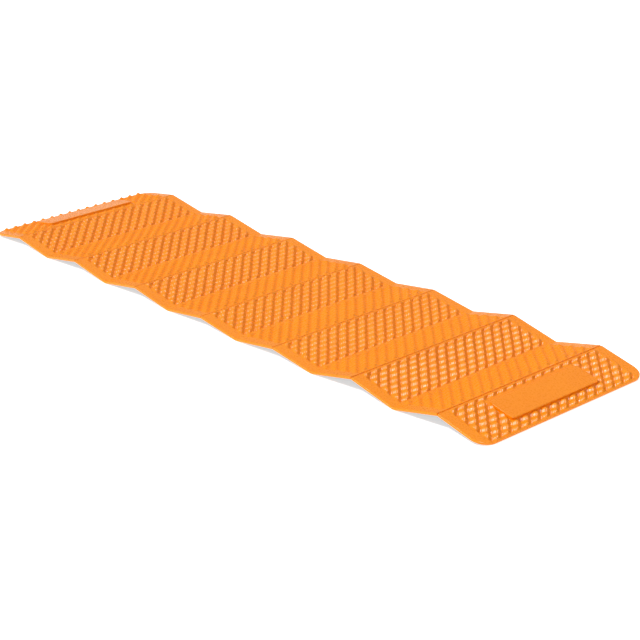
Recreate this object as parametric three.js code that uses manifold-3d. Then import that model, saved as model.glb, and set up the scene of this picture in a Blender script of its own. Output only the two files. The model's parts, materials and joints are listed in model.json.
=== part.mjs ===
// Accordion-fold foam sleeping pad, standing half open on its folds.
//
// The pad is one sheet of closed-cell foam in two layers, an orange top and a charcoal underside.
// Thirteen pressed lines across it leave fourteen stiff panels and thirteen thin webs that act as hinges.
// X runs along the pad, Y across it and Z up. The origin is under its middle, on the ground.
// Each panel is a plain slab here: the egg-crate bumps stand out of both of its faces.

import * as THREE from 'three';
import { mergeVertices } from 'three/addons/utils/BufferGeometryUtils.js';
import Module from 'manifold-3d';

const wasm = await Module();
wasm.setup();

// Driving dimensions, in millimetres
const PANEL_COUNT = 14;
const FLAT_LENGTH = 1830;
const PANEL_LENGTH = FLAT_LENGTH / PANEL_COUNT;
const PAD_WIDTH = 510;
const PACKED_PITCH = 6.4; // from one panel's middle plane to the next one's, folded up and nested
const PACKED_GAP = 0.4; // between the slabs of two panels that are folded together
const END_CORNER_RADIUS = 38;
const CORNER_SEGMENTS = 8; // straight steps in each quarter turn of a corner

// The two foam layers
const SLAB_THICKNESS = PACKED_PITCH - PACKED_GAP;
const UNDERSIDE_THICKNESS = 1.7;
const LAYER_GAP = 0.3;
const EDGE_WALL = 4; // how far the orange layer is drawn down round the rim, outside the charcoal one

// The pressed folds: each web is a round bead on its hinge axis
const WEB_RADIUS = 1.5;
const WEB_SIDES = 12;
const FOLD_SETBACK = 2; // from the hinge axis to the end of each slab

// The smooth raised plate near each free end of the pad
const PLATE_LENGTH = 70;
const PLATE_WIDTH = 272;
const PLATE_HEIGHT = 6; // above the slab, just over the tops of the bumps
const PLATE_FROM_FOLD = 28;
const PLATE_CORNER_RADIUS = 9;
const PLATE_ROOT = 1; // how deep the plate's body is sunk into the slab that it grows from

// Slope of the two panels of each tent, from one free end to the other, in degrees
const TENT_SLOPES = [9.2, 9.9, 9.5, 7.9, 8.3, 12.4, 13.1];

const orangeFoam = new THREE.MeshStandardMaterial({ color: 0xf2921e, roughness: 0.55, metalness: 0 });
const charcoalFoam = new THREE.MeshStandardMaterial({ color: 0x2c2d30, roughness: 0.8, metalness: 0 });

const HALF_LENGTH = PANEL_LENGTH / 2;
const HALF_WIDTH = PAD_WIDTH / 2;
const HALF_THICKNESS = SLAB_THICKNESS / 2;
const HINGE_OFFSET = PACKED_PITCH / 2;

// A flat piece with one radius for its two corners at x0 and one for those at x1, lying between two heights
function flatPiece({ x0, x1, halfWidth, radius0, radius1 }, low, high) {
  const outline = new THREE.Shape();
  outline.moveTo(x0 + radius0, -halfWidth);
  outline.lineTo(x1 - radius1, -halfWidth);
  quarterTurn(outline, x1 - radius1, radius1 - halfWidth, radius1, 1.5 * Math.PI);
  outline.lineTo(x1, halfWidth - radius1);
  quarterTurn(outline, x1 - radius1, halfWidth - radius1, radius1, 0);
  outline.lineTo(x0 + radius0, halfWidth);
  quarterTurn(outline, x0 + radius0, halfWidth - radius0, radius0, 0.5 * Math.PI);
  outline.lineTo(x0, radius0 - halfWidth);
  quarterTurn(outline, x0 + radius0, radius0 - halfWidth, radius0, Math.PI);
  const settings = { depth: high - low, bevelEnabled: false, curveSegments: CORNER_SEGMENTS };
  return new THREE.ExtrudeGeometry(outline, settings).translate(0, 0, low);
}

function quarterTurn(outline, x, y, radius, startAngle) {
  if (radius > 0) outline.absarc(x, y, radius, startAngle, startAngle + Math.PI / 2, false);
}

function toSolid(geometry) {
  geometry.deleteAttribute('normal');
  geometry.deleteAttribute('uv');
  const merged = mergeVertices(geometry);
  const vertProperties = new Float32Array(merged.attributes.position.array);
  const triVerts = new Uint32Array(merged.index.array);
  return new wasm.Manifold(new wasm.Mesh({ numProp: 3, vertProperties, triVerts }));
}

function toGeometry(solid) {
  const mesh = solid.getMesh();
  const geometry = new THREE.BufferGeometry();
  geometry.setAttribute('position', new THREE.BufferAttribute(mesh.vertProperties, 3));
  geometry.setIndex(new THREE.BufferAttribute(mesh.triVerts, 1));
  geometry.computeVertexNormals();
  return geometry;
}

function named(name, geometry, material) {
  const mesh = new THREE.Mesh(geometry, material);
  mesh.name = name;
  return mesh;
}

// A panel's outline, drawn in from its rims and free end by a margin and from its folds by a setback
function panelOutline(number, rimMargin, foldSetback) {
  const [free0, free1] = [number === 1, number === PANEL_COUNT];
  const cornerRadius = END_CORNER_RADIUS - rimMargin;
  return {
    x0: (free0 ? rimMargin : foldSetback) - HALF_LENGTH,
    x1: HALF_LENGTH - (free1 ? rimMargin : foldSetback),
    halfWidth: HALF_WIDTH - rimMargin,
    radius0: free0 ? cornerRadius : 0,
    radius1: free1 ? cornerRadius : 0,
  };
}

function undersideFoam(number) {
  const outline = panelOutline(number, EDGE_WALL + LAYER_GAP, FOLD_SETBACK);
  return flatPiece(outline, -HALF_THICKNESS, UNDERSIDE_THICKNESS - HALF_THICKNESS);
}

// The space for the charcoal layer, which runs out past the slab's underside and its folded ends
function undersideRecess(number) {
  const outline = panelOutline(number, EDGE_WALL, 0);
  const roof = UNDERSIDE_THICKNESS + LAYER_GAP - HALF_THICKNESS;
  return toSolid(flatPiece(outline, -SLAB_THICKNESS, roof));
}

// The plate near a free end, on the side of the panel's centre that its fold is on: -1 or 1 along X
function raisedPlate(foldSide) {
  const centreX = foldSide * (HALF_LENGTH - PLATE_FROM_FOLD - PLATE_LENGTH / 2);
  const outline = {
    x0: centreX - PLATE_LENGTH / 2,
    x1: centreX + PLATE_LENGTH / 2,
    halfWidth: PLATE_WIDTH / 2,
    radius0: PLATE_CORNER_RADIUS,
    radius1: PLATE_CORNER_RADIUS,
  };
  return toSolid(flatPiece(outline, HALF_THICKNESS - PLATE_ROOT, HALF_THICKNESS + PLATE_HEIGHT));
}

function topFoam(number) {
  const slab = flatPiece(panelOutline(number, 0, FOLD_SETBACK), -HALF_THICKNESS, HALF_THICKNESS);
  let solid = toSolid(slab).subtract(undersideRecess(number));
  if (number === 1) solid = solid.add(raisedPlate(1));
  if (number === PANEL_COUNT) solid = solid.add(raisedPlate(-1));
  return toGeometry(solid);
}

// The web of the fold between one panel and the next: odd folds are ridges, with their web at the underside
function foldWeb(number) {
  const web = new THREE.CylinderGeometry(WEB_RADIUS, WEB_RADIUS, PAD_WIDTH, WEB_SIDES);
  return web.translate(HALF_LENGTH, 0, hingeHeight(number));
}

function hingeHeight(fold) {
  return fold % 2 === 1 ? -HINGE_OFFSET : HINGE_OFFSET;
}

function panel(number) {
  const label = String(number).padStart(2, '0');
  const group = new THREE.Group();
  group.add(named(`top_foam_${label}`, topFoam(number), orangeFoam));
  group.add(named(`underside_foam_${label}`, undersideFoam(number), charcoalFoam));
  if (number < PANEL_COUNT) group.add(named(`fold_web_${label}`, foldWeb(number), orangeFoam));
  return group;
}

// Odd panels climb towards +X and even ones descend, each turned about Y by its tent's slope
function panelTurn(number) {
  const slope = THREE.MathUtils.degToRad(TENT_SLOPES[Math.ceil(number / 2) - 1]);
  return number % 2 === 1 ? -slope : slope;
}

// From a panel's centre to the hinge axis at one of its ends, in the pad's frame
function centreToHinge(number, end, fold) {
  const offset = new THREE.Vector3(end * HALF_LENGTH, 0, hingeHeight(fold));
  return offset.applyAxisAngle(new THREE.Vector3(0, 1, 0), panelTurn(number));
}

const sleepingPad = new THREE.Group();
const centre = new THREE.Vector3();
for (let number = 1; number <= PANEL_COUNT; number += 1) {
  const body = panel(number);
  body.position.copy(centre);
  body.rotation.y = panelTurn(number);
  sleepingPad.add(body);
  centre.add(centreToHinge(number, 1, number));
  centre.sub(centreToHinge(number + 1, -1, number));
}

// The finished pad is moved so that its lowest edge is on the ground and its middle is over the origin
sleepingPad.updateMatrixWorld(true);
const extent = new THREE.Box3().setFromObject(sleepingPad, true);
const middle = extent.getCenter(new THREE.Vector3());
sleepingPad.position.set(-middle.x, -middle.y, -extent.min.z);

export default sleepingPad;
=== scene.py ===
"""Looks of a folding foam sleeping pad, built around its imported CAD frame.

Fourteen panels of two-layer foam are joined at thirteen folds. Each panel is a wavy sheet whose bumps
nest in its neighbour's hollows when the pad is folded up. Panel shapes are worked out in millimetres in
the panel's own frame: u runs along the panel from its left fold, y across the pad and w up from the
panel's middle surface. They are placed in the row frame, in metres, last.
"""

import json
import math
from dataclasses import dataclass

import bpy
import numpy as np
from mathutils import Matrix, Vector


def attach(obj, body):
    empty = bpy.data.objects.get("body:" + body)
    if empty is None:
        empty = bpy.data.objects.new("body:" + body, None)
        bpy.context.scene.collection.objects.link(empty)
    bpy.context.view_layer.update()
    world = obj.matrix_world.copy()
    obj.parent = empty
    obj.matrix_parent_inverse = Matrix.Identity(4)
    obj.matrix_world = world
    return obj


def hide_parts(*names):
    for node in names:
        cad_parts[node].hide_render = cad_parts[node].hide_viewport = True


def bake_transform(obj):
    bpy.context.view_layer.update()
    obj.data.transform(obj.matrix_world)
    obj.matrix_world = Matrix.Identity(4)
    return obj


MM = 0.001

# The pad
PANEL_COUNT = 14
PAD_WIDTH = 510
HINGE_OFFSET = 3.2  # from the middle surface to a fold's axis
HALF_THICKNESS = 2.9
UNDERSIDE_SHARE = 0.29  # of the thickness, taken by the charcoal layer
LAYER_GAP = 0.1
LEAST_THICKNESS = 1.2  # where a flat top lies over a hollow of the underside
END_CORNER_RADIUS = 38

# The moulded bumps
BUMP_HEIGHT = 5.6
BUMPS_PER_PANEL = 8
WAVE_ACROSS = 29.3
STEPS_PER_BUMP = 8  # mesh steps along the panel
STEPS_PER_WAVE = 12  # mesh steps across it
PATTERN_EDGE = (226, 231)  # where the bumps fade out, from the pad's centre line
PRESSED_CLEARANCE = 0.1  # under the lowest foam, where it lies pressed on the ground
PRESSED_SOFTNESS = 0.3

# The rim and the folds
RIM_TOP_RADIUS = 1.3
RIM_BOTTOM_RADIUS = 0.9
RECESS_SLOPE = 0.3
RIM_ROWS = 4
RIM_RECESS = 4.085  # from the pad's side to the charcoal layer
SEAM = 2.6  # from a fold to the edge of its panel's sheet
SEAM_STEP = 0.8
SLIT_HALF = 0.15
SLIT_LIP_RADIUS = 1.1
WEB_THICKNESS = 2.2
WEB_STEPS = 8
STRIP_STATIONS = 24
CORNER_STEPS = 20
ARC_STEPS = 4

# The raised plate on each end panel
PLATE_FROM_FOLD = 28
PLATE_LENGTH = 70
PLATE_WIDTH = 272
PLATE_CELLS = 6  # bump columns that the plate takes the place of, with the one before it
PLATE_TOP = 8.8
PLATE_WALL = 3  # from the plate's outline to the bumps hidden inside it
PLATE_RADIUS = 9
PLATE_DRAFT = 0.5  # how far the side leans in, from the foot to the rounded top edge
PLATE_EDGE_RADIUS = 1.5

SHARP_ANGLE = math.radians(62)  # edges that bend more than this are shaded sharp


@dataclass
class Panel:
    """One stiff panel at rest: the place of its left end, its slope and its length."""

    number: int
    x: float
    z: float
    slope: float
    length: float

    @property
    def body(self):
        return f"panel_{self.number:02d}"

    @property
    def has_left_fold(self):
        return self.number > 1

    @property
    def has_right_fold(self):
        return self.number < PANEL_COUNT

    def place(self, u, y, w):
        """Points of the row frame, in millimetres."""
        x = self.x + u * math.cos(self.slope) - w * math.sin(self.slope)
        z = self.z + u * math.sin(self.slope) + w * math.cos(self.slope)
        return np.stack([x, y, z], -1)


@dataclass
class Fold:
    """One fold: its axis, and the two panels that it joins."""

    number: int
    x: float
    z: float
    side: int  # 1 where the axis is over the panels, in a valley, and -1 on a mountain
    left: Panel
    right: Panel

    @property
    def half_angle(self):
        return abs(self.left.slope - self.right.slope) / 2

    def place(self, s, y, w):
        """Points of the row frame at a distance s from the fold, turning from one panel to the other."""
        share = smoothstep(-SLIT_HALF, SLIT_HALF, s)
        slope = self.left.slope + share * (self.right.slope - self.left.slope)
        above = w - self.side * HINGE_OFFSET
        x = self.x + s * np.cos(slope) - above * np.sin(slope)
        z = self.z + s * np.sin(slope) + above * np.cos(slope)
        return np.stack([x, y, z], -1)


def smoothstep(low, high, value):
    t = np.clip((value - low) / (high - low), 0, 1)
    return t * t * (3 - 2 * t)


def soft_maximum(value, floor, softness):
    return 0.5 * (value + floor + np.sqrt((value - floor) ** 2 + softness**2))


def quarter_arc(radius, steps=ARC_STEPS):
    """(outward, downward) steps of a rounded edge, from its upper end to its outer end."""
    angles = [math.pi / 2 * k / steps for k in range(steps + 1)]
    return [(radius * (math.sin(a) - 1), radius * (1 - math.cos(a))) for a in angles]


# ---------------------------------------------------------------- where the panels and folds are


def fold_side(number):
    return -1 if number % 2 else 1


def read_panels_and_folds(joints):
    """Every panel and fold at rest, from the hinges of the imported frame."""
    hinges = {int(j["name"][-2:]): j for j in joints}
    axes = {n: Vector(j["pos_m"]) / MM for n, j in hinges.items()}
    panels = {}
    for number in range(2, PANEL_COUNT):
        start, end = axes[number - 1], axes[number]
        across = end - start
        rise = (fold_side(number) - fold_side(number - 1)) * HINGE_OFFSET
        length = math.sqrt(across.length_squared - rise**2)
        slope = math.atan2(across.z, across.x) - math.atan2(rise, length)
        drop = fold_side(number - 1) * HINGE_OFFSET
        x, z = start.x + drop * math.sin(slope), start.z - drop * math.cos(slope)
        panels[number] = Panel(number, x, z, slope, length)

    last = PANEL_COUNT
    for number, neighbour, fold in ((1, 2, 1), (last, last - 1, last - 1)):
        angle = math.radians(-hinges[fold]["range_deg"][0])
        turn = angle if number == 1 else -angle
        slope = panels[neighbour].slope - fold_side(fold) * turn
        length = panels[neighbour].length
        drop = fold_side(fold) * HINGE_OFFSET
        x, z = axes[fold].x + drop * math.sin(slope), axes[fold].z - drop * math.cos(slope)
        if number == 1:
            x, z = x - length * math.cos(slope), z - length * math.sin(slope)
        panels[number] = Panel(number, x, z, slope, length)

    folds = [
        Fold(n, axis.x, axis.z, fold_side(n), panels[n], panels[n + 1])
        for n, axis in sorted(axes.items())
    ]
    return [panels[n] for n in sorted(panels)], folds


# ---------------------------------------------------------------- heights over a panel


def bump_pitch(panel):
    return panel.length / BUMPS_PER_PANEL


def plate_start(panel):
    """Where the raised plate starts along an end panel, from the panel's left end."""
    if panel.number == 1:
        return panel.length - PLATE_FROM_FOLD - PLATE_LENGTH
    return PLATE_FROM_FOLD


def bump_wave(panel, u, y):
    """Height of the panel's middle surface over its flat rim."""
    pitch = bump_pitch(panel)
    wave = -np.sin(math.pi * u / pitch) * np.cos(2 * math.pi * y / WAVE_ACROSS)
    wave = wave * (1 - smoothstep(*PATTERN_EDGE, np.abs(y)))
    wave = wave * smoothstep(pitch / 4, pitch / 2, np.minimum(u, panel.length - u))
    return wave * BUMP_HEIGHT


def under_plate(panel, wave, u, y):
    """The wave made flat round the raised plate; inside the plate its bumps go on, to fill the underside."""
    pitch = bump_pitch(panel)
    half_width = PLATE_WIDTH / 2
    half_length = PLATE_LENGTH / 2
    from_fold = panel.length - u if panel.number == 1 else u
    from_middle = np.abs(from_fold - PLATE_FROM_FOLD - half_length)
    cleared = (from_fold > pitch) & (from_fold < pitch * PLATE_CELLS) & (np.abs(y) < half_width)
    inside = (from_middle < half_length - PLATE_WALL) & (np.abs(y) < half_width - PLATE_WALL)
    return np.where(cleared, np.where(inside, np.maximum(wave, 0), 0), wave)


def top_height(panel, u, y):
    wave = bump_wave(panel, u, y)
    if not (panel.has_left_fold and panel.has_right_fold):
        wave = under_plate(panel, wave, u, y)
    return wave + HALF_THICKNESS


def bottom_height(panel, u, y):
    """The underside, kept clear of the top face and pressed flat where it would reach into the ground."""
    w = np.minimum(bump_wave(panel, u, y) - HALF_THICKNESS, top_height(panel, u, y) - LEAST_THICKNESS)
    z = panel.z + u * math.sin(panel.slope) + w * math.cos(panel.slope)
    return w + soft_maximum(z, PRESSED_CLEARANCE, PRESSED_SOFTNESS) - z


def layer_height(panel, u, y):
    """Where the charcoal layer meets the orange one."""
    bottom = bottom_height(panel, u, y)
    return bottom + UNDERSIDE_SHARE * (top_height(panel, u, y) - bottom)


# ---------------------------------------------------------------- mesh grids


def panel_columns(panel):
    """Distances along the panel, from seam to seam or to the rim of a free end."""
    step = bump_pitch(panel) / STEPS_PER_BUMP
    first = STEPS_PER_BUMP // 4
    last = STEPS_PER_BUMP * BUMPS_PER_PANEL - first
    columns = [step * k for k in range(first, last + 1)]
    if panel.has_left_fold:
        columns = [SEAM, SEAM + SEAM_STEP] + columns
    if panel.has_right_fold:
        columns += [panel.length - SEAM - SEAM_STEP, panel.length - SEAM]
    return np.array(columns)


def rim_width(panel):
    return bump_pitch(panel) / 4


def panel_rows(panel):
    """Distances across the pad, from its centre line to the inside of the rim, and back on the other side."""
    step = WAVE_ACROSS / STEPS_PER_WAVE
    inside = PAD_WIDTH / 2 - rim_width(panel)
    if panel.has_left_fold and panel.has_right_fold:
        last = math.floor(PATTERN_EDGE[1] / step / 2) * 2
        rows = [step * k for k in range(last + 1)]
        rows += list(np.linspace(rows[-1], inside, RIM_ROWS + 1)[1:])
    else:
        start = PAD_WIDTH / 2 - END_CORNER_RADIUS
        rows = [step * k for k in range(math.floor(start / step / 2) * 2 + 1)]
        angles = np.linspace(0, math.pi / 2, CORNER_STEPS)
        rows += list(start + (inside - start) * np.sin(angles))
    return np.array([-y for y in reversed(rows[1:])] + rows)


def panel_grid(panel):
    """The (u, y) places of the panel's mesh inside its rim, with the free end's corners rounded."""
    u, y = np.meshgrid(panel_columns(panel), panel_rows(panel))
    corner = END_CORNER_RADIUS - rim_width(panel)
    past = np.abs(y) - (PAD_WIDTH / 2 - END_CORNER_RADIUS)
    cut = corner - np.sqrt(np.maximum(corner**2 - np.maximum(past, 0) ** 2, 0))
    width = u.max() - u.min()
    if not panel.has_left_fold:
        u = u.max() - (u.max() - u) * (1 - cut / width)
    if not panel.has_right_fold:
        u = u.min() + (u - u.min()) * (1 - cut / width)
    return u, y


def outward(panel, u, y):
    """Directions out of the pad's outline, at points on the inside of its rim."""
    inner_y = np.clip(y, END_CORNER_RADIUS - PAD_WIDTH / 2, PAD_WIDTH / 2 - END_CORNER_RADIUS)
    low = END_CORNER_RADIUS if not panel.has_left_fold else -np.inf
    high = panel.length - END_CORNER_RADIUS if not panel.has_right_fold else np.inf
    direction = np.stack([u - np.clip(u, low, high), y - inner_y], -1)
    return direction / np.linalg.norm(direction, axis=-1, keepdims=True)


def rim_chains(panel, rows, columns):
    """Runs of grid places along the pad's own rim, anticlockwise seen from above."""
    near = [(0, c) for c in range(columns)]
    far = [(rows - 1, c) for c in reversed(range(columns))]
    if not panel.has_left_fold:
        end = [(r, 0) for r in reversed(range(rows))]
        return [far + end[1:] + near[1:]]
    if not panel.has_right_fold:
        end = [(r, columns - 1) for r in range(rows)]
        return [near + end[1:] + far[1:]]
    return [near, far]


# ---------------------------------------------------------------- faces


def grid_triangles(index, lean):
    """Two triangles for each cell of a grid, facing up. lean picks the diagonal that splits a cell."""
    a, b, c, d = index[:-1, :-1], index[:-1, 1:], index[1:, 1:], index[1:, :-1]
    halves = [(a, b, c), (a, c, d)] if lean else [(a, b, d), (b, c, d)]
    return np.concatenate([np.stack(half, -1).reshape(-1, 3) for half in halves])


def band_triangles(inner, outer):
    """Triangles between two runs with the same number of points."""
    a, b, c, d = inner[:-1], outer[:-1], outer[1:], inner[1:]
    return np.concatenate([np.stack([a, b, c], -1), np.stack([a, c, d], -1)])


def halving_triangles(fine, coarse):
    """Triangles between a run and another that has every second of its points."""
    a, b, c = fine[:-1:2], fine[1::2], fine[2::2]
    d, e = coarse[:-1], coarse[1:]
    return np.concatenate([np.stack(t, -1) for t in ((a, d, b), (b, d, e), (b, e, c))])


def sheet_shape(panel, outer, inner, rim, lean):
    """A closed layer of a panel.

    outer and inner give the heights of its fine face and of its coarse one, which is hidden between the
    layers. rim holds the (outset, height) points of the rim between them.
    """
    u, y = panel_grid(panel)
    rows, columns = u.shape
    fine = np.arange(u.size).reshape(u.shape)
    points = [np.stack([u, y, outer(panel, u, y)], -1).reshape(-1, 3)]
    triangles = [grid_triangles(fine, lean)]

    coarse_u, coarse_y = u[::2, ::2], y[::2, ::2]
    coarse = fine.size + np.arange(coarse_u.size).reshape(coarse_u.shape)
    heights = inner(panel, coarse_u, coarse_y)
    points.append(np.stack([coarse_u, coarse_y, heights], -1).reshape(-1, 3))
    triangles.append(grid_triangles(coarse, lean)[:, ::-1])
    count = fine.size + coarse.size

    rim_ends = {}
    for chain in rim_chains(panel, rows, columns):
        r, c = np.array(chain).T
        out = outward(panel, u[r, c], y[r, c])
        run = fine[r, c]
        rings = []
        for outset, height in rim:
            ring = count + np.arange(len(chain))
            count += len(chain)
            level = np.full(len(chain), float(height))
            points.append(np.stack([u[r, c] + outset * out[:, 0], y[r, c] + outset * out[:, 1], level], -1))
            triangles.append(band_triangles(run, ring))
            rings.append(ring)
            run = ring
        triangles.append(halving_triangles(run, coarse[r[::2] // 2, c[::2] // 2]))
        rim_ends[chain[0]] = [int(ring[0]) for ring in rings]
        rim_ends[chain[-1]] = [int(ring[-1]) for ring in rings]

    caps = []
    if panel.has_left_fold:
        near, far = rim_ends[0, 0], rim_ends[rows - 1, 0]
        caps.append([*fine[:, 0], *far, *coarse[::-1, 0], *near[::-1]])
    if panel.has_right_fold:
        near, far = rim_ends[0, columns - 1], rim_ends[rows - 1, columns - 1]
        caps.append([*fine[::-1, -1], *near, *coarse[:, -1], *far[::-1]])
    faces = np.concatenate(triangles).tolist() + [[int(i) for i in cap] for cap in caps]
    local = np.concatenate(points)
    return panel.place(local[:, 0], local[:, 1], local[:, 2]), faces


def swept_shape(place, sections, stations):
    """A closed solid through the same number of (s, w) points at each station across the pad."""
    size = len(sections[0])
    points = []
    for section, y in zip(sections, stations):
        s, w = np.array(section, float).T
        points.append(place(s, np.full(size, float(y)), w))
    index = np.arange(size * len(stations)).reshape(len(stations), size)
    ring = np.concatenate([index, index[:, :1]], 1)
    faces = []
    for k in range(len(stations) - 1):
        for j in range(size):
            faces.append([int(i) for i in (ring[k, j], ring[k, j + 1], ring[k + 1, j + 1], ring[k + 1, j])])
    faces.append([int(i) for i in index[0][::-1]])
    faces.append([int(i) for i in index[-1]])
    return np.concatenate(points), faces


def new_piece(name, points, faces, material):
    """A mesh object from points in millimetres, smooth except along its sharp edges."""
    mesh = bpy.data.meshes.new(name)
    mesh.from_pydata((points * MM).tolist(), [], faces)
    mesh.polygons.foreach_set("use_smooth", [True] * len(mesh.polygons))
    mesh.set_sharp_from_angle(angle=SHARP_ANGLE)
    mesh.materials.append(material)
    piece = bpy.data.objects.new(name, mesh)
    bpy.context.scene.collection.objects.link(piece)
    return piece


# ---------------------------------------------------------------- the pad's pieces


def flipped(faces):
    return [face[::-1] for face in faces]


def top_sheet(panel, material):
    """The orange layer, which also wraps down round the rim."""
    wide = rim_width(panel)
    high, low = HALF_THICKNESS, -HALF_THICKNESS
    rim = [(wide + out, high - down) for out, down in quarter_arc(RIM_TOP_RADIUS)]
    rim += [(wide + out, low + down) for out, down in reversed(quarter_arc(RIM_BOTTOM_RADIUS))]
    rim.append((RECESS_SLOPE, low))
    points, faces = sheet_shape(panel, top_height, layer_height, rim, panel.number % 2)
    piece = new_piece(f"top_sheet_{panel.number:02d}", points, faces, material)
    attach(piece, panel.body)
    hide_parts(f"top_foam_{panel.number:02d}")
    return piece


def underside_sheet(panel, material):
    """The charcoal layer, set inside the rim."""

    def upper_height(panel, u, y):
        return layer_height(panel, u, y) - LAYER_GAP

    points, faces = sheet_shape(panel, bottom_height, upper_height, [], panel.number % 2)
    piece = new_piece(f"underside_sheet_{panel.number:02d}", points, flipped(faces), material)
    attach(piece, panel.body)
    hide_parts(f"underside_foam_{panel.number:02d}")
    return piece


def web_places(reach):
    """Places along a fold from one side to the other, close together where the web bends."""
    return [-reach] + list(np.linspace(-SLIT_HALF, SLIT_HALF, WEB_STEPS + 1)) + [reach]


def slit_edge(height, deep, radius):
    """One side of the slit, from the seam to the slit's inner end, for a face at that height."""
    down = -1 if height > deep else 1
    lip = [(-SLIT_HALF + out, height + down * drop) for out, drop in quarter_arc(radius)]
    return [(-SEAM, height)] + lip + [(-SLIT_HALF, deep)]


def slit_section(side, bottom, top):
    """Section of the orange layer at a fold, slit from above on a mountain and from below in a valley."""
    if side < 0:
        face, closed, inner = top, bottom, -HALF_THICKNESS + WEB_THICKNESS
    else:
        face, closed, inner = bottom, top, HALF_THICKNESS - WEB_THICKNESS
    left = slit_edge(face, inner, SLIT_LIP_RADIUS)
    middle = [(s, inner) for s in web_places(SEAM)[2:-2]]
    right = [(-s, w) for s, w in reversed(left)]
    back = [(s, closed) for s in reversed(web_places(SEAM))]
    return left + middle + right + back


def strip_stations():
    """(y, bottom, top) of the orange layer's section across the pad: it wraps down round the rim."""
    layer = HALF_THICKNESS * (2 * UNDERSIDE_SHARE - 1)
    half, wide = PAD_WIDTH / 2, PAD_WIDTH / 2 - RIM_RECESS
    ends = [(wide, layer), (wide + RECESS_SLOPE, -HALF_THICKNESS)]
    stations = [(y, layer, HALF_THICKNESS) for y in np.linspace(0, wide, STRIP_STATIONS // 2)[:-1]]
    stations += [(y, bottom, HALF_THICKNESS) for y, bottom in ends]
    top = quarter_arc(RIM_TOP_RADIUS)
    bottom = quarter_arc(RIM_BOTTOM_RADIUS)
    for (out, down), (_, up) in zip(top, bottom):
        stations.append((half + out, up - HALF_THICKNESS, HALF_THICKNESS - down))
    return [(-y, low, high) for y, low, high in reversed(stations[1:])] + stations




def blend_at_fold(piece, fold):
    """Bakes the piece's placement into its mesh; it is not bent, and it is not attached to either panel."""
    fold.left.body
    fold.right.body
    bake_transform(piece)


def fold_skin(fold, material):
    """The orange layer across a fold."""
    stations = strip_stations()
    sections = [slit_section(fold.side, low, high) for _, low, high in stations]
    points, faces = swept_shape(fold.place, sections, [y for y, _, _ in stations])
    if fold.side > 0:
        faces = flipped(faces)
    piece = new_piece(f"fold_skin_{fold.number:02d}", points, faces, material)
    blend_at_fold(piece, fold)
    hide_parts(f"fold_web_{fold.number:02d}")
    return piece


def fold_underside(fold, material):
    """The charcoal layer across a fold: whole on a mountain, and cut through in a valley."""
    layer = HALF_THICKNESS * (2 * UNDERSIDE_SHARE - 1) - LAYER_GAP
    low = -HALF_THICKNESS
    if fold.side < 0:
        reach = web_places(SEAM)
        blocks = [[(s, low) for s in reach] + [(s, layer) for s in reversed(reach)]]
    else:
        blocks = [
            [(sign * s, w) for s, w in ((SEAM, low), (SLIT_HALF, low), (SLIT_HALF, layer), (SEAM, layer))]
            for sign in (-1, 1)
        ]
        blocks[1].reverse()
    wide = PAD_WIDTH / 2 - RIM_RECESS
    stations = list(np.linspace(-wide, wide, STRIP_STATIONS))
    points, faces = [], []
    for block in blocks:
        block_points, block_faces = swept_shape(fold.place, [block] * len(stations), stations)
        offset = sum(len(p) for p in points)
        faces += [[i + offset for i in face] for face in block_faces]
        points.append(block_points)
    piece = new_piece(f"fold_underside_{fold.number:02d}", np.concatenate(points), flipped(faces), material)
    blend_at_fold(piece, fold)
    return piece


def rounded_rectangle(length, width, radius, steps=6):
    """Points round a rectangle centred on the origin, anticlockwise."""
    points = []
    for turn, (a, b) in enumerate([(1, -1), (1, 1), (-1, 1), (-1, -1)]):
        centre = (a * (length / 2 - radius), b * (width / 2 - radius))
        for k in range(steps + 1):
            angle = math.pi / 2 * (turn - 1 + k / steps)
            points.append((centre[0] + radius * math.cos(angle), centre[1] + radius * math.sin(angle)))
    return np.array(points)


def raised_plate(panel, material):
    """The smooth plate that stands on an end panel, just over the tops of the bumps."""
    rings = [(0, HALF_THICKNESS)]
    for out, down in reversed(quarter_arc(PLATE_EDGE_RADIUS)):
        rings.append((PLATE_DRAFT - out, PLATE_TOP - down))
    rings.append((PLATE_DRAFT + 2 * PLATE_EDGE_RADIUS, PLATE_TOP))
    middle = plate_start(panel) + PLATE_LENGTH / 2
    points = []
    for inset, height in rings:
        radius = PLATE_RADIUS - min(inset, PLATE_RADIUS - 1)
        outline = rounded_rectangle(PLATE_LENGTH - 2 * inset, PLATE_WIDTH - 2 * inset, radius)
        level = np.full(len(outline), float(height))
        points.append(panel.place(outline[:, 0] + middle, outline[:, 1], level))
    size = len(points[0])
    index = np.arange(size * len(rings)).reshape(len(rings), size)
    ring = np.concatenate([index, index[:, :1]], 1)
    faces = []
    for k in range(len(rings) - 1):
        for j in range(size):
            faces.append([int(i) for i in (ring[k, j], ring[k, j + 1], ring[k + 1, j + 1], ring[k + 1, j])])
    faces.append([int(i) for i in index[0][::-1]])
    faces.append([int(i) for i in index[-1]])
    piece = new_piece(f"raised_plate_{panel.number:02d}", np.concatenate(points), faces, material)
    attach(piece, panel.body)
    return piece


# ---------------------------------------------------------------- materials


ORANGE_FOAM = {
    "deep": (0.88, 0.24, 0.0),
    "pale": (0.91, 0.27, 0.0),
    "roughness": 0.28,
    "specular": 0.28,
    "grain": 0.2,
}
CHARCOAL_FOAM = {
    "deep": (0.018, 0.019, 0.021),
    "pale": (0.034, 0.035, 0.038),
    "roughness": 0.6,
    "specular": 0.4,
    "grain": 0.35,
}
CLOUD_SCALE = 9
SPECKLE_SCALE = 240
CELL_SCALE = 700
CELL_DEPTH = 0.0004  # in metres
FLOOR_GREY = 0.8
FLOOR_GLOW = 0.6


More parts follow.
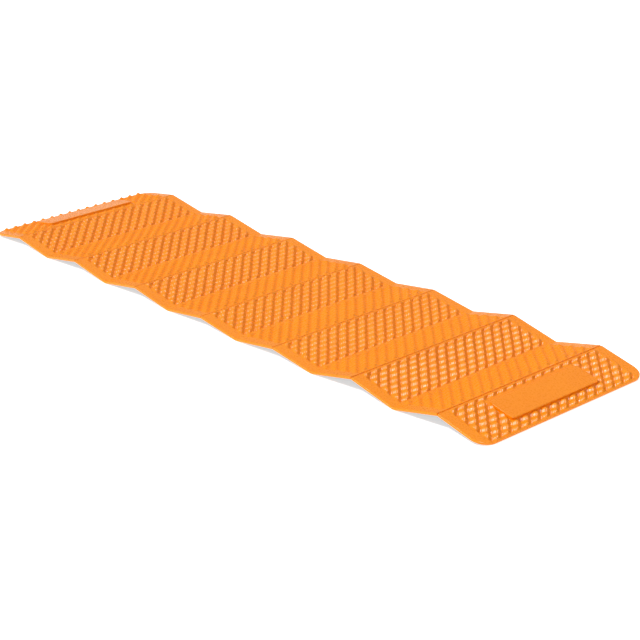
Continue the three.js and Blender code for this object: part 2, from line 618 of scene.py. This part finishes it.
def node(tree, kind, inputs=(), **settings):
    """A shader node with its settings, and its inputs given as values or as other nodes' outputs."""
    made = tree.nodes.new(kind)
    for name, value in settings.items():
        setattr(made, name, value)
    for name, value in dict(inputs).items():
        if isinstance(value, bpy.types.NodeSocket):
            tree.links.new(value, made.inputs[name])
        else:
            made.inputs[name].default_value = value
    return made


def foam_material(name, deep, pale, roughness, specular, grain):
    """Closed-cell foam: a fine pebbled skin with slow changes of colour and gloss."""
    material = bpy.data.materials.new(name)
    material.use_nodes = True
    tree = material.node_tree
    tree.nodes.clear()
    place = node(tree, "ShaderNodeTexCoord").outputs["Object"]
    cloud = node(tree, "ShaderNodeTexNoise", {"Vector": place, "Scale": CLOUD_SCALE, "Detail": 3})
    speckle = node(tree, "ShaderNodeTexNoise", {"Vector": place, "Scale": SPECKLE_SCALE, "Detail": 3})
    mixed = node(
        tree,
        "ShaderNodeMath",
        {0: cloud.outputs["Fac"], 1: speckle.outputs["Fac"]},
        operation="ADD",
    )
    share = node(
        tree,
        "ShaderNodeMapRange",
        {"Value": mixed.outputs[0], "From Min": 0.75, "From Max": 1.25},
    )
    colour = node(
        tree,
        "ShaderNodeMix",
        {0: share.outputs[0], 6: (*deep, 1), 7: (*pale, 1)},
        data_type="RGBA",
    )
    gloss = node(
        tree,
        "ShaderNodeMapRange",
        {
            "Value": speckle.outputs["Fac"],
            "From Min": 0.3,
            "From Max": 0.7,
            "To Min": roughness - 0.06,
            "To Max": roughness + 0.08,
        },
    )
    cells = node(tree, "ShaderNodeTexVoronoi", {"Vector": place, "Scale": CELL_SCALE}, feature="F1")
    bump = node(
        tree,
        "ShaderNodeBump",
        {"Height": cells.outputs["Distance"], "Strength": grain, "Distance": CELL_DEPTH},
    )
    shader = node(
        tree,
        "ShaderNodeBsdfPrincipled",
        {
            "Base Color": colour.outputs[2],
            "Roughness": gloss.outputs[0],
            "Specular IOR Level": specular,
            "Normal": bump.outputs[0],
        },
    )
    node(tree, "ShaderNodeOutputMaterial", {"Surface": shader.outputs[0]})
    return material


def floor_material():
    """A white floor that glows a little, so that shade on it stays pale."""
    material = bpy.data.materials.new("pale_floor")
    material.use_nodes = True
    shader = material.node_tree.nodes["Principled BSDF"]
    shader.inputs["Base Color"].default_value = (FLOOR_GREY, FLOOR_GREY, FLOOR_GREY, 1)
    shader.inputs["Roughness"].default_value = 0.9
    shader.inputs["Specular IOR Level"].default_value = 0.1
    shader.inputs["Emission Color"].default_value = (1, 1, 1, 1)
    shader.inputs["Emission Strength"].default_value = FLOOR_GLOW
    return material


# ---------------------------------------------------------------- studio


CAMERA_PLACE = Vector((3.01146, -2.50936, 1.52358))
CAMERA_AZIMUTH = math.radians(48.907)
CAMERA_ELEVATION = math.radians(22.009)
CAMERA_ROLL = math.radians(1.2415)
CAMERA_LENS = 97.32
WORLD_HORIZON = 0.32
WORLD_ZENITH = 0.72
KEY_AZIMUTH = math.radians(-30)
KEY_ELEVATION = math.radians(50)
KEY_STRENGTH = 2.15
KEY_ANGLE = math.radians(5)
SHEEN_AZIMUTH = math.radians(78)
SHEEN_ELEVATION = math.radians(65)
SHEEN_STRENGTH = 2.8
SHEEN_ANGLE = math.radians(8)
FLOOR_SIZE = 60


def make_camera():
    data = bpy.data.cameras.new("camera")
    data.lens = CAMERA_LENS
    data.clip_end = 50
    camera = bpy.data.objects.new("camera", data)
    bpy.context.scene.collection.objects.link(camera)
    turn = Matrix.Rotation(CAMERA_AZIMUTH, 4, "Z")
    tilt = Matrix.Rotation(math.pi / 2 - CAMERA_ELEVATION, 4, "X")
    roll = Matrix.Rotation(-CAMERA_ROLL, 4, "Z")
    camera.matrix_world = Matrix.Translation(CAMERA_PLACE) @ turn @ tilt @ roll
    bpy.context.scene.camera = camera


def make_sun(name, azimuth, elevation, strength, angle):
    """A soft distant light from that direction; azimuth 0 is the pad's near side, along -Y."""
    data = bpy.data.lights.new(name, "SUN")
    data.energy = strength
    data.angle = angle
    light = bpy.data.objects.new(name, data)
    bpy.context.scene.collection.objects.link(light)
    turn = Matrix.Rotation(azimuth, 4, "Z")
    tilt = Matrix.Rotation(math.pi / 2 - elevation, 4, "X")
    light.matrix_world = turn @ tilt
    return light


def make_floor():
    bpy.ops.mesh.primitive_plane_add(size=FLOOR_SIZE)
    floor = bpy.context.object
    floor.name = "floor"
    floor.data.materials.append(floor_material())


def make_lights():
    """A sky brighter overhead, a soft key sun, and a sheen sun that lights gloss but not matt colour."""
    world = bpy.data.worlds.new("studio")
    bpy.context.scene.world = world
    world.use_nodes = True
    tree = world.node_tree
    direction = node(tree, "ShaderNodeTexCoord").outputs["Generated"]
    height = node(tree, "ShaderNodeSeparateXYZ", {"Vector": direction}).outputs["Z"]
    sky = node(
        tree,
        "ShaderNodeMapRange",
        {"Value": height, "From Max": 0.8, "To Min": WORLD_HORIZON, "To Max": WORLD_ZENITH},
        interpolation_type="SMOOTHSTEP",
    )
    tree.links.new(sky.outputs[0], tree.nodes["Background"].inputs["Color"])
    make_sun("key", KEY_AZIMUTH, KEY_ELEVATION, KEY_STRENGTH, KEY_ANGLE)
    sheen = make_sun("sheen", SHEEN_AZIMUTH, SHEEN_ELEVATION, SHEEN_STRENGTH, SHEEN_ANGLE)
    sheen.visible_diffuse = False
    bpy.context.scene.view_settings.view_transform = "Standard"


def make_pad(panels, folds):
    orange = foam_material("orange_foam_skin", **ORANGE_FOAM)
    charcoal = foam_material("charcoal_foam_skin", **CHARCOAL_FOAM)
    for panel in panels:
        top_sheet(panel, orange)
        underside_sheet(panel, charcoal)
    for fold in folds:
        fold_skin(fold, orange)
        fold_underside(fold, charcoal)
    for panel in (panels[0], panels[-1]):
        raised_plate(panel, orange)


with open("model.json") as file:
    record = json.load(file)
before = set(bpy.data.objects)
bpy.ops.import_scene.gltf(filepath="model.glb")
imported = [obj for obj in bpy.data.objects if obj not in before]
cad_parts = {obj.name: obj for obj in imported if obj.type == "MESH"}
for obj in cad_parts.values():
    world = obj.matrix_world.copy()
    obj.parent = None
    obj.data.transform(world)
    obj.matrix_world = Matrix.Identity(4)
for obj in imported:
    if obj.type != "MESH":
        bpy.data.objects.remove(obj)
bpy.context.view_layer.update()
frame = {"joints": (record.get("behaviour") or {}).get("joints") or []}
make_camera()
make_floor()
make_lights()
make_pad(*read_panels_and_folds(frame["joints"]))
